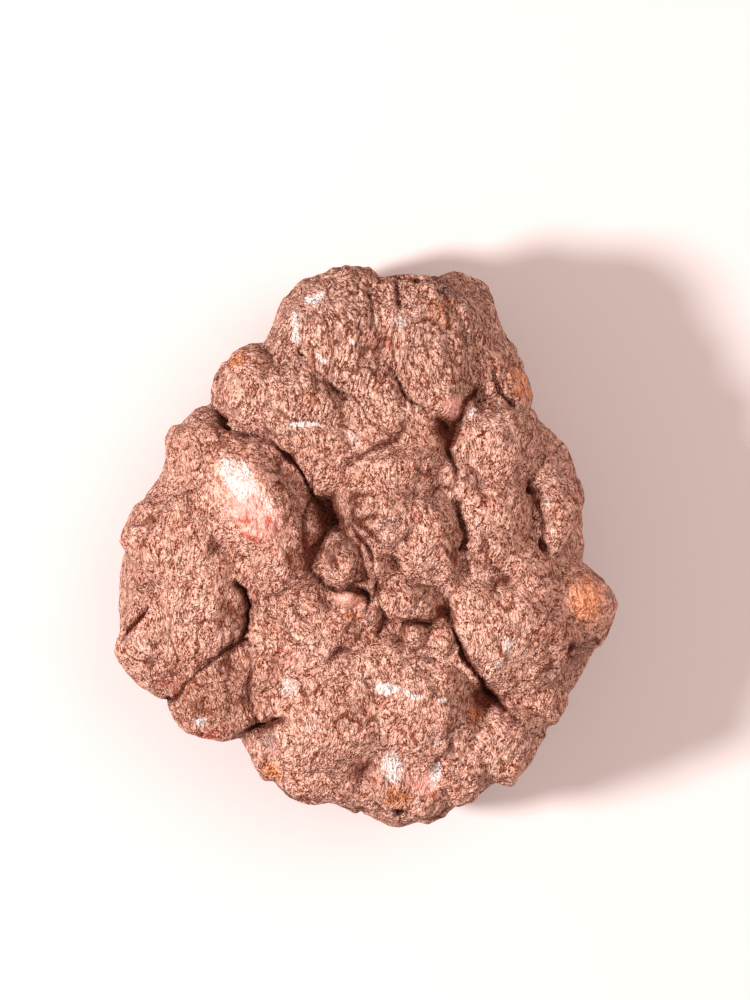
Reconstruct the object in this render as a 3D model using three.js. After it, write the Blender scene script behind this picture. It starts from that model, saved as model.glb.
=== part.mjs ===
// A geode in its rind: one natural nodule, knobbly all over, resting on its flattest side.
// Millimetres, +Z up. X runs to the right and Y to the top as the knobbly upper side is seen from above.
// The origin is on the resting plane, under the middle of the stone.
import * as THREE from "three";
import { mergeVertices } from "three/addons/utils/BufferGeometryUtils.js";

// Driving dimensions of the body under the knobs.
const GIRTH_HEIGHT = 12; // where the stone is widest
const CROWN_RISE = 13.6; // from the girth to the top of the body
const FOOT_DROP = 12.2; // from the girth to the bottom of the body
const FULLNESS = 3.3; // 2 is an ellipse in section, more is plumper
const NOTCH_FADE = 0.6; // share of the way to the rim where the silhouette's notches begin to show
const SEAT_HEIGHT = 0; // what would reach lower is worn flat

// How a knob swells and meets its neighbours.
const DOME_POWER = 2.2; // flatter top and steeper edge than a parabola
const SOFTNESS = 0.3; // how far a knob blends into the next
const DEEPEST_BETWEEN = -0.2; // floor of the gaps between knobs
const MEAN_RELIEF = 1.9; // what the knobs add to the body on average
const TALLNESS = 1.5; // a knob at the rim runs this much further down the side
const WANDER = { size: 5.5, reach: 1.1, series: 11 }; // bends the outlines of the knobs

// Unevenness on the knobs: the size of a swell or lump and its height. A series picks its pattern.
const SWELLS = [
  { size: 8, height: 0.5, series: 1 },
  { size: 3.6, height: 0.3, series: 2 },
];
const LUMPS = { size: 5, height: 0.75, series: 71 };
const LUMP_BEND = { size: 4, reach: 1.2, series: 14 };
const LUMP_LEVEL = 0.5; // a scattered point this far away, in cells, is level with the knob

// The facets.
const SPHERE_DETAIL = 21; // gives 9680 triangles
const UPWARD_CROWDING = 0.2; // shifts triangles from the underside to the upper side
const CUT_WIDENING = 0.8; // the facets can't hold a cut narrower than this
const CUT_SHARE = 0.7; // and they round off its bottom
const CUT_FADE = [10, 15]; // heights between which the cuts of the upper side fade out

// Places on the plan are as they look from this point, at the scale of the silhouette.
const EYE = new THREE.Vector3(1, 5, 378.7);

// Silhouette seen from above, counter-clockwise from the right.
const SILHOUETTE = [
  [24.1, 5.6], [22.8, 10], [20.5, 12.7], [18.2, 15.3], [18.5, 16.6], [16.6, 21.5],
  [14.5, 25], [13.5, 28.8], [10.7, 30.2], [8.2, 30], [6.4, 29.5], [4.5, 30],
  [1.5, 29.5], [0.3, 30.4], [-2.3, 31], [-7, 29.4], [-9, 27.3], [-10.3, 24.3],
  [-11.4, 22.4], [-12.7, 22.5], [-14.9, 21.4], [-16.9, 18.4], [-17.2, 15.6], [-18.8, 15.2],
  [-21, 12.7], [-22.6, 8.1], [-25.5, 3.4], [-26.9, -1.6], [-27.3, -8], [-26.8, -12.6],
  [-24.6, -15.1], [-21.8, -16.7], [-19.7, -20.1], [-17.7, -21.2], [-13.9, -21.5], [-12.5, -24.1],
  [-11.4, -26], [-7.2, -27.2], [-3.2, -28.1], [-0.4, -29.4], [3, -31], [7.1, -30.2],
  [11.5, -28.3], [15.3, -25.8], [17.5, -23.6], [18.9, -21.4], [20.5, -18.9], [22.9, -15.9],
  [24.7, -12.6], [26.2, -9.5], [27.3, -6.2], [26.2, -4], [23.8, -1.8], [23.8, 1.7],
];

// Knobs of the upper side: centre x and y, half length, half width, turn in degrees, height.
const KNOBS = {
  crownLeft: [-4.4, 24.4, 7.6, 7.8, 0, 3.4],
  crownRight: [7, 23, 9.6, 7, 95, 3.9],
  crownTip: [8.6, 16.4, 4.6, 3.6, 60, 3.2],
  crownFlank: [14.6, 20.6, 7.4, 3.6, -70, 2.3],
  crownLip: [16.9, 17.6, 3.6, 1.8, -60, 2.6],
  browTip: [-13.6, 18.2, 5, 4.8, 10, 3.3],
  brow: [-6.8, 15.8, 6.8, 4.6, -15, 3.2],
  neck: [-9.1, 22.1, 4.2, 3.6, 0, 2.2],
  slabTop: [0.2, 17.4, 5.4, 5, 40, 2.7],
  slabLeft: [-5.4, 10.2, 6.2, 4.8, -10, 2.7],
  slabMiddle: [1.6, 12.6, 5.6, 4.2, 25, 2.3],
  slabRight: [7.2, 12.2, 3, 3.2, 0, 1.3],
  heartTop: [3.6, 7.8, 5.8, 3.4, 15, 3.2],
  heartLeft: [1.9, 3.4, 5.4, 4.8, -20, 4.2],
  heartRight: [7, 0.8, 4.8, 5.8, 0, 4.1],
  heartFoot: [3.9, -3.6, 2.4, 1.6, -10, 2.1],
  boulder: [-12.2, 4.2, 9.2, 6.4, -57, 4.5],
  boulderFoot: [-9.2, -1.6, 5, 4.4, -20, 3.3],
  shoulder: [-18.6, 10.8, 6, 5.6, 0, 3.1],
  cheek: [-18.4, -7, 6.6, 8, 0, 3.9],
  leftFlank: [-20.8, 2.4, 6.8, 8.8, 0, 3.2],
  leftFoot: [-23.6, -10.4, 5.6, 7, 0, 3],
  jowl: [-17, -17, 6, 4.8, -20, 2.8],
  jowlInner: [-11.5, -15.4, 2.7, 5.2, 5, 2.4],
  hollowLeft: [-8.4, -9, 5.6, 4.4, 0, 2.5],
  hollowMiddle: [-3.2, -10.2, 4.4, 3, 0, 2.2],
  knob: [-2.9, -1.5, 3.2, 3.9, 0, 4.2],
  knobRidge: [0.7, -1, 3.8, 1.6, -58, 3.7],
  pebble: [-1.9, -6.1, 2.2, 1.6, -10, 2.6],
  bead: [0.8, -8.2, 1.5, 2, 0, 2.8],
  bean: [4.8, -7, 4, 2.4, -5, 3.3],
  pea: [5.6, -10.3, 1.6, 1.6, 0, 2.7],
  peaRight: [8.4, -10.9, 2.1, 2.2, -15, 2.9],
  bellyTop: [1.8, -13.9, 5.6, 3.4, 5, 3.1],
  bellyLeft: [-3.6, -18.8, 8.8, 8, 0, 4.2],
  bellyRight: [6.2, -19, 7.6, 8, 0, 4],
  bellyRim: [3.8, -26.4, 6.2, 4.4, 0, 2.9],
  rimLeft: [-6.1, -24.2, 6, 4, -15, 2.8],
  toe: [-11, -23, 3.2, 3.6, 0, 2.3],
  columnTop: [14.8, 11.4, 6.2, 5.4, -20, 3.1],
  columnEdge: [11.4, 7.2, 2.6, 3, 0, 2.6],
  columnMiddle: [14.4, 2.2, 4.8, 6.4, 0, 3],
  columnLow: [18.1, -3.2, 5.2, 4.2, 0, 2.7],
  ridge: [21.7, 3.9, 3, 7.2, 0, 2.8],
  hip: [16.2, -10.4, 7, 7.4, 0, 4.3],
  hipLeft: [11.9, -9.6, 2.6, 4, 15, 3.1],
  hipTop: [11.7, -5.6, 3.2, 2.6, 0, 2.7],
  hipRim: [20.1, -17.2, 3.8, 3.6, 0, 2.4],
  spur: [24.2, -6.3, 4.4, 5.4, 0, 2.2],
  heel: [15.3, -21.9, 4.8, 5.4, 0, 3.7],
  heelLeft: [10.4, -24.1, 4.4, 5.6, 0, 3.3],
};

// Cracks and clefts of the upper side: half width, depth, then the line that it follows.
const CLEFTS = {
  mainStart: [0.32, 1.5, [-17.3, 15.4], [-16.8, 14.3], [-15.6, 12.9]],
  mainMiddle: [0.25, 0.7, [-15.6, 12.9], [-14.2, 12.9], [-12.7, 12.7], [-11.5, 12.2]],
  main: [0.26, 1.2, [-11.5, 12.2], [-10, 11.1], [-8.3, 9.4], [-6.9, 7.5], [-6, 5.6], [-4.5, 3.9]],
  crownEdge: [0.22, 0.7, [2.5, 19.5], [3.8, 17.1], [5.8, 15.5], [7.1, 14.4], [9.3, 13.1]],
  crownFoot: [0.35, 1, [12.4, 17.7], [11.5, 16], [10.4, 13.3]],
  crownLip: [0.25, 0.9, [14.6, 19.6], [15.4, 17.6], [16.6, 16]],
  crownLedge: [0.3, 1.4, [1.9, 28.6], [3.8, 28.5], [5.4, 28]],
  crownSplit: [0.3, 0.6, [6.5, 28.8], [8.7, 27], [10.4, 24.3], [11.1, 22.1]],
  crownGroove: [0.25, 0.8, [-0.9, 27.9], [-0.8, 23.2]],
  crownGrooveRight: [0.25, 0.8, [0.4, 27.4], [0.7, 22.1]],
  crownNick: [0.3, 0.7, [3.2, 28.9], [3.6, 25.9]],
  column: [0.25, 0.8, [10.2, 12.9], [9.2, 10.5], [9.8, 8.5], [9.3, 6.3], [10.4, 3.9], [11.2, 1.2],
    [10.4, -1]],
  brow: [0.3, 0.8, [-7.2, 21.5], [-6, 19.7], [-4.5, 17.7], [-2.3, 16]],
  slab: [0.3, 0.6, [-1.9, 8.9], [0.7, 10.5], [3.5, 12], [4.3, 13.8]],
  slabFoot: [0.3, 0.7, [-2.5, 5], [-0.1, 6.4], [1.6, 6]],
  knobRight: [0.22, 0.6, [-1.7, 2.6], [-0.9, 0.9], [0.1, -0.7], [0.8, -2.7], [1.3, -4.9], [0.6, -6.2]],
  knobLeft: [0.25, 0.5, [-3.9, 1.9], [-5.7, -0.5], [-6, -3.2], [-4.4, -4.8]],
  heart: [0.22, 0.6, [-1.7, 3.2], [0.4, 1.5], [1.6, 0.1], [4, 0.5], [5, 2.4]],
  hollowTop: [0.22, 0.6, [-6.7, -4.3], [-8.3, -4.9], [-10.5, -5.8]],
  cheek: [0.26, 1.3, [-14.6, -4.3], [-13.7, -5], [-13, -6.5], [-13.6, -9.1], [-13.8, -10.9]],
  jowl: [0.28, 1.1, [-13.3, -10.6], [-15.8, -11.7], [-17.3, -13.3], [-19.3, -15], [-21.7, -16.7]],
  jowlBack: [0.3, 0.9, [-13, -12], [-12.9, -15.9], [-11.4, -19.2]],
  hollowFoot: [0.3, 0.6, [-8.3, -14.2], [-5, -12.8], [-1.5, -11.7], [3.2, -11.7]],
  pebble: [0.2, 0.7, [-3.6, -4.7], [-1.7, -4.8], [0, -6], [0.1, -7.3]],
  bead: [0.22, 0.6, [1.3, -4.9], [1.9, -7.6], [1.4, -9.6]],
  beanFoot: [0.3, 0.8, [4, -8.9], [7.1, -9], [9.3, -8]],
  pea: [0.22, 0.6, [4.3, -10.4], [6.2, -11.9], [8.2, -12.9]],
  hip: [0.26, 1.3, [9.5, -8.4], [10.4, -10.6], [11.2, -12.8], [12.8, -15], [14.8, -17.5], [15.6, -18.2]],
  hipTail: [0.25, 0.6, [15.6, -18.2], [16.8, -18.9], [18.6, -20.2]],
  heel: [0.22, 0.3, [13.2, -19.6], [13.7, -21.9], [14.5, -24.7]],
  toe: [0.35, 1.4, [-12.2, -20.3], [-10.7, -19.9], [-9.4, -19.4]],
  ridge: [0.25, 0.6, [19.3, 7.6], [19.3, 5], [19.8, 3], [19.4, 0.6], [19.9, -1], [21.4, -2.4]],
  rim: [0.3, 1.4, [3.2, -28.7], [7.1, -29], [9.3, -28.4]],
  nick: [0.28, 1.2, [-24.5, -6.9], [-25.8, -9.5]],
};

// Pits and broad hollows: centre x and y, radius, depth.
const HOLLOWS = {
  centre: [-3.4, 1.6, 5, 0.5],
  deepPit: [-3.4, 3, 0.8, 1.2],
  beanPit: [8.8, -7.3, 0.7, 1],
  dotPit: [4.2, -9.7, 0.5, 0.6],
  crownPit: [9.2, 12.8, 1.3, 1.4],
  crownDot: [-3.1, 22.4, 0.6, 0.8],
  hipPit: [13.8, -16.6, 1.1, 1],
  hipSlope: [12.4, -17.4, 2, 0.5],
  spurPit: [22.2, -11.6, 1, 1.4],
  ridgePit: [19.4, 6.2, 0.6, 0.9],
  ridgePitLow: [19.5, 0.2, 0.6, 0.8],
  cheekSlope: [-14.4, -7.6, 2.2, 0.7],
  bellyDip: [-0.6, -24.1, 1.8, 0.7],
  flankDot: [-16.6, -0.6, 0.6, 0.8],
  columnDip: [15.2, -3.9, 1, 0.9],
};

// Knobs of the lower sides and the underside, laid out on a golden spiral.
const UNDER_KNOBS = 34;
const UNDER_TOP = -0.12; // the spiral starts a little below the girth
const UNDER_RADIUS = 6.8;
const UNDER_SPREAD = 1.9;
const UNDER_STEEPNESS = 0.33; // height over radius

const RIND = new THREE.MeshStandardMaterial({ color: 0xb98068, roughness: 0.95, metalness: 0 });

const mix = (a, b, t) => a + (b - a) * t;

function smoothstep(from, to, value) {
  const t = Math.min(1, Math.max(0, (value - from) / (to - from)));
  return t * t * (3 - 2 * t);
}

// A number from 0 to 1 that belongs to a point of the whole-number grid.
function gridNumber(x, y, z, series = 0) {
  let h = (Math.imul(x, 374761393) + Math.imul(y, 668265263) + Math.imul(z, 1274126177)) | 0;
  h = (h + Math.imul(series, 974711)) | 0;
  h = Math.imul(h ^ (h >>> 13), 1274126177);
  return ((h ^ (h >>> 16)) >>> 0) / 4294967296;
}

// Smooth noise from -1 to 1 with swells of a given size. Each series is a pattern of its own.
const SERIES_STEP = 19;

function noise(point, size, series) {
  const place = point.toArray().map((value) => value / size + SERIES_STEP * series);
  const cell = place.map(Math.floor);
  const [u, v, w] = place.map((value, axis) => smoothstep(0, 1, value - cell[axis]));
  const corner = (i, j, k) => gridNumber(cell[0] + i, cell[1] + j, cell[2] + k);
  const edge = (j, k) => mix(corner(0, j, k), corner(1, j, k), u);
  const face = (k) => mix(edge(0, k), edge(1, k), v);
  return 2 * mix(face(0), face(1), w) - 1;
}

// The point moved by up to the given reach, so that a pattern read there looks grown and not drawn.
function bent(point, { size, reach, series }) {
  const shift = [0, 1, 2].map((axis) => reach * noise(point, size, series + axis));
  return new THREE.Vector3(...shift).add(point);
}

// Distance to the nearest of scattered points, one in each cell, in cell sizes.
const NEIGHBOURS = [-1, 0, 1];

function nearestScattered(point, size, series) {
  const place = point.toArray().map((value) => value / size);
  const cell = place.map(Math.floor);
  let nearest = Infinity;
  for (const i of NEIGHBOURS) {
    for (const j of NEIGHBOURS) {
      for (const k of NEIGHBOURS) {
        const corner = [cell[0] + i, cell[1] + j, cell[2] + k];
        const scattered = corner.map((value, axis) => value + gridNumber(...corner, series + axis));
        const offsets = scattered.map((value, axis) => value - place[axis]);
        nearest = Math.min(nearest, Math.hypot(...offsets));
      }
    }
  }
  return nearest;
}

// The silhouette as a radius for each direction.
const corners = SILHOUETTE
  .map(([x, y]) => ({ turn: Math.atan2(y, x), radius: Math.hypot(x, y) }))
  .sort((a, b) => a.turn - b.turn);

function silhouetteRadius(turn) {
  const full = 2 * Math.PI;
  const wrapped = turn - full * Math.floor((turn + Math.PI) / full);
  let next = corners.findIndex((corner) => corner.turn > wrapped);
  if (next < 0) next = 0;
  const before = corners[(next + corners.length - 1) % corners.length];
  const after = corners[next];
  const span = (after.turn - before.turn + full) % full;
  return mix(before.radius, after.radius, ((wrapped - before.turn + full) % full) / span);
}

// The same without its notches: a mean over a sector.
const SECTOR = Math.PI / 6;
const SECTOR_STEPS = 8;

function plainRadius(turn) {
  let sum = 0;
  for (let i = -SECTOR_STEPS; i <= SECTOR_STEPS; i++) {
    sum += silhouetteRadius(turn + (SECTOR * i) / SECTOR_STEPS);
  }
  return sum / (2 * SECTOR_STEPS + 1);
}

// The point of the body, without knobs, for a direction, and the way out of it.
function bodyPoint(direction, rimRadius = silhouetteRadius) {
  const rise = direction.z + UPWARD_CROWDING * (1 - direction.z ** 2);
  const level = Math.sqrt(Math.max(0, 1 - rise ** 2));
  const scale = (level ** FULLNESS + Math.abs(rise) ** FULLNESS) ** (-1 / FULLNESS);
  const reach = level * scale;
  const lift = rise * scale;
  const half = rise >= 0 ? CROWN_RISE : FOOT_DROP;
  const turn = Math.atan2(direction.y, direction.x);
  const radius = mix(plainRadius(turn), rimRadius(turn), smoothstep(NOTCH_FADE, 1, reach));
  const point = new THREE.Vector3(
    radius * reach * Math.cos(turn),
    radius * reach * Math.sin(turn),
    GIRTH_HEIGHT + half * lift,
  );
  const outward = reach ** (FULLNESS - 1) / radius;
  const normal = new THREE.Vector3(
    outward * Math.cos(turn),
    outward * Math.sin(turn),
    (Math.sign(lift) * Math.abs(lift) ** (FULLNESS - 1)) / half,
  ).normalize();
  return { point, normal };
}

// The body's height above a place on the plan.
function crownHeight(x, y) {
  const share = Math.min(1, Math.hypot(x, y) / plainRadius(Math.atan2(y, x)));
  return GIRTH_HEIGHT + CROWN_RISE * (1 - share ** FULLNESS) ** (1 / FULLNESS);
}

// How much larger things look at a height than at the girth, and where a point appears on the plan.
const growth = (z) => (EYE.z - GIRTH_HEIGHT) / (EYE.z - z);

function asSeen({ x, y, z }) {
  return [EYE.x + (x - EYE.x) * growth(z), EYE.y + (y - EYE.y) * growth(z)];
}

const upperKnobs = Object.values(KNOBS).map(([x, y, a, b, turn, height]) => {
  const z = crownHeight(x, y);
  return {
    centre: new THREE.Vector3(EYE.x + (x - EYE.x) / growth(z), EYE.y + (y - EYE.y) / growth(z), z),
    turn: THREE.MathUtils.degToRad(turn),
    radii: [a, b, (TALLNESS * (a + b)) / 2],
    height,
  };
});

const lowerKnobs = Array.from({ length: UNDER_KNOBS }, (_, i) => {
  const z = mix(UNDER_TOP, -1, (i + 0.5) / UNDER_KNOBS) - UPWARD_CROWDING;
  const level = Math.max(-1, z);
  const turn = i * Math.PI * (3 - Math.sqrt(5));
  const across = Math.sqrt(Math.max(0, 1 - level ** 2));
  const direction = new THREE.Vector3(across * Math.cos(turn), across * Math.sin(turn), level);
  const radius = UNDER_RADIUS + UNDER_SPREAD * Math.sin(i * 2.4);
  return {
    centre: bodyPoint(direction).point,
    turn: 0,
    radii: [radius, radius, radius],
    height: UNDER_STEEPNESS * radius,
  };
});

const knobs = [...upperKnobs, ...lowerKnobs];

// How far the surface stands off the body at a point, from the knobs alone.
function knobRelief(point) {
  const place = bent(point, WANDER);
  let sum = Math.exp(DEEPEST_BETWEEN / SOFTNESS);
  for (const { centre, turn, radii, height } of knobs) {
    const offset = place.clone().sub(centre);
    const along = (offset.x * Math.cos(turn) + offset.y * Math.sin(turn)) / radii[0];
    const aside = (offset.y * Math.cos(turn) - offset.x * Math.sin(turn)) / radii[1];
    const distance = Math.hypot(along, aside, offset.z / radii[2]);
    sum += Math.exp((height * (1 - distance ** DOME_POWER)) / SOFTNESS);
  }
  return SOFTNESS * Math.log(sum) - MEAN_RELIEF;
}

function distanceToLine(x, y, line) {
  let nearest = Infinity;
  for (let i = 1; i < line.length; i++) {
    const [ax, ay] = line[i - 1];
    const [bx, by] = line[i];
    const along = ((x - ax) * (bx - ax) + (y - ay) * (by - ay)) / ((bx - ax) ** 2 + (by - ay) ** 2);
    const t = Math.min(1, Math.max(0, along));
    nearest = Math.min(nearest, Math.hypot(x - mix(ax, bx, t), y - mix(ay, by, t)));
  }
  return nearest;
}

// What the clefts and pits of the upper side take away.
function cutDepth(point) {
  const [seenX, seenY] = asSeen(point);
  let depth = 0;
  for (const [halfWidth, deep, ...line] of Object.values(CLEFTS)) {
    const reach = distanceToLine(seenX, seenY, line) / (halfWidth + CUT_WIDENING);
    depth = Math.max(depth, deep * Math.exp(-(reach ** 2)));
  }
  for (const [x, y, radius, deep] of Object.values(HOLLOWS)) {
    depth += deep * Math.exp(-(((seenX - x) ** 2 + (seenY - y) ** 2) / radius ** 2));
  }
  return depth * smoothstep(...CUT_FADE, point.z);
}

function unevenness(point) {
  const swells = SWELLS.map(({ size, height, series }) => height * noise(point, size, series));
  const swell = swells.reduce((sum, value) => sum + value);
  const distance = nearestScattered(bent(point, LUMP_BEND), LUMPS.size, LUMPS.series);
  return swell + LUMPS.height * (LUMP_LEVEL - distance);
}

// The knobs stand out at the rim too, so the body's rim is the silhouette less the most that they add there.
// Relief is read where the body would be with its rim on the silhouette, so that the two cancel out.
const RIM_HEIGHTS = [6, 8, 10, 12, 14, 16, 18];
const RIM_STEPS = 1440;

const rimRadii = Array.from({ length: RIM_STEPS }, (_, i) => {
  const turn = -Math.PI + (2 * Math.PI * i) / RIM_STEPS;
  const radius = silhouetteRadius(turn);
  const added = RIM_HEIGHTS.map((height) => {
    const half = height > GIRTH_HEIGHT ? CROWN_RISE : FOOT_DROP;
    const reach = (1 - (Math.abs(height - GIRTH_HEIGHT) / half) ** FULLNESS) ** (1 / FULLNESS);
    const across = radius * reach;
    const rim = new THREE.Vector3(across * Math.cos(turn), across * Math.sin(turn), height);
    return knobRelief(rim) + unevenness(rim) - radius * (1 - reach);
  });
  return radius - Math.max(...added);
});

function rimRadius(turn) {
  const place = ((turn + Math.PI) / (2 * Math.PI)) * RIM_STEPS;
  const step = Math.floor(place);
  return mix(rimRadii[step % RIM_STEPS], rimRadii[(step + 1) % RIM_STEPS], place - step);
}

function surfacePoint(direction) {
  const place = bodyPoint(direction).point;
  const relief = knobRelief(place) + unevenness(place) - CUT_SHARE * cutDepth(place);
  const { point, normal } = bodyPoint(direction, rimRadius);
  const surface = point.addScaledVector(normal, relief);
  surface.z = Math.max(SEAT_HEIGHT, surface.z);
  return surface;
}

function geodeMesh() {
  const geometry = new THREE.IcosahedronGeometry(1, SPHERE_DETAIL);
  geometry.deleteAttribute("normal");
  geometry.deleteAttribute("uv");
  const shape = mergeVertices(geometry, 1e-5);
  const positions = shape.attributes.position;
  const direction = new THREE.Vector3();
  for (let i = 0; i < positions.count; i++) {
    const surface = surfacePoint(direction.fromBufferAttribute(positions, i));
    positions.setXYZ(i, surface.x, surface.y, surface.z);
  }
  shape.computeVertexNormals();
  const mesh = new THREE.Mesh(shape, RIND);
  mesh.name = "geode";
  return mesh;
}

const model = new THREE.Group();
model.add(geodeMesh());

export default model;
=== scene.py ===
import math
import bmesh
import bpy
import numpy as np
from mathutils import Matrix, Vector


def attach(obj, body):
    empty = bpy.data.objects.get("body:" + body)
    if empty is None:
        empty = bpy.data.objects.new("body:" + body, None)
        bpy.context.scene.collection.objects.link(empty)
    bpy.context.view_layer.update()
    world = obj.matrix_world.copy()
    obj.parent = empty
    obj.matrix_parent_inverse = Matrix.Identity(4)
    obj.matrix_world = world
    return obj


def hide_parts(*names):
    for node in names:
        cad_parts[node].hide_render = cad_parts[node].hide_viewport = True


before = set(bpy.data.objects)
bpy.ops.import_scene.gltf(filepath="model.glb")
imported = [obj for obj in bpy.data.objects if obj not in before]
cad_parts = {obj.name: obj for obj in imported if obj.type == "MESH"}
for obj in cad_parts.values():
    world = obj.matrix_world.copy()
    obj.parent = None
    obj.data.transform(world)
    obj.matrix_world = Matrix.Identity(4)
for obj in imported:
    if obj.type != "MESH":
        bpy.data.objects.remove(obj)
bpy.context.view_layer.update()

MM = 0.001

# Camera. It looks straight down on the knobbly upper side, from a little over arm's length,
# with the stone's outline left of the middle of the picture and a little below it.
OUTLINE_HEIGHT = 12 * MM  # where the stone is widest
FRAME_LENGTH = 110 * MM  # what the long side of the picture covers there
LENS = 120
SENSOR = 36
camera_data = bpy.data.cameras.new("camera")
camera_data.lens = LENS
camera_data.sensor_width = SENSOR
camera_data.clip_start = 0.01
camera = bpy.data.objects.new("camera", camera_data)
camera.location = (1.0 * MM, 5.0 * MM, OUTLINE_HEIGHT + FRAME_LENGTH * LENS / SENSOR)
bpy.context.scene.collection.objects.link(camera)
bpy.context.scene.camera = camera

# The geode's rind: the whole outside of a natural nodule, iron-stained and weathered, grown in one piece.
# It is a plump body covered with knobs that grew into each other, with clefts between them and a gritty,
# crumbly skin. Its sizes are in millimetres until it is meshed.
GIRTH_HEIGHT = 12  # where the stone is widest
CROWN_RISE = 13.6  # from the girth to the top of the body
FOOT_DROP = 12.2  # from the girth to the bottom of the body
FULLNESS = 3.3  # 2 is an ellipse in section, more is plumper
NOTCH_FADE = 0.6  # share of the way to the rim where the silhouette's notches start
SEAT_HEIGHT = 0  # what would reach lower is worn flat
DOME_POWER = 2.2  # flatter top and steeper edge than a parabola
SOFTNESS = 0.3  # how far a knob blends into the next
DEEPEST_BETWEEN = -0.2  # floor of the gaps between knobs
MEAN_RELIEF = 1.9  # what the knobs add to the body on average
TALLNESS = 1.5  # a knob at the rim runs this much further down the side
UPWARD_CROWDING = 0.2  # shifts triangles from the underside to the upper side
CUT_FADE = (10, 15)  # heights between which the clefts and pits of the upper side come in
EYE = (1, 5, 378.7)  # the tables give places as they look from here, at the scale of the outline

# Its silhouette seen from above, counter-clockwise from the right.
SILHOUETTE = [
    (24.1, 5.6), (22.8, 10), (20.5, 12.7), (18.2, 15.3), (18.5, 16.6), (16.6, 21.5),
    (14.5, 25), (13.5, 28.8), (10.7, 30.2), (8.2, 30), (6.4, 29.5), (4.5, 30),
    (1.5, 29.5), (0.3, 30.4), (-2.3, 31), (-7, 29.4), (-9, 27.3), (-10.3, 24.3),
    (-11.4, 22.4), (-12.7, 22.5), (-14.9, 21.4), (-16.9, 18.4), (-17.2, 15.6), (-18.8, 15.2),
    (-21, 12.7), (-22.6, 8.1), (-25.5, 3.4), (-26.9, -1.6), (-27.3, -8), (-26.8, -12.6),
    (-24.6, -15.1), (-21.8, -16.7), (-19.7, -20.1), (-17.7, -21.2), (-13.9, -21.5), (-12.5, -24.1),
    (-11.4, -26), (-7.2, -27.2), (-3.2, -28.1), (-0.4, -29.4), (3, -31), (7.1, -30.2),
    (11.5, -28.3), (15.3, -25.8), (17.5, -23.6), (18.9, -21.4), (20.5, -18.9), (22.9, -15.9),
    (24.7, -12.6), (26.2, -9.5), (27.3, -6.2), (26.2, -4), (23.8, -1.8), (23.8, 1.7),
]

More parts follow.
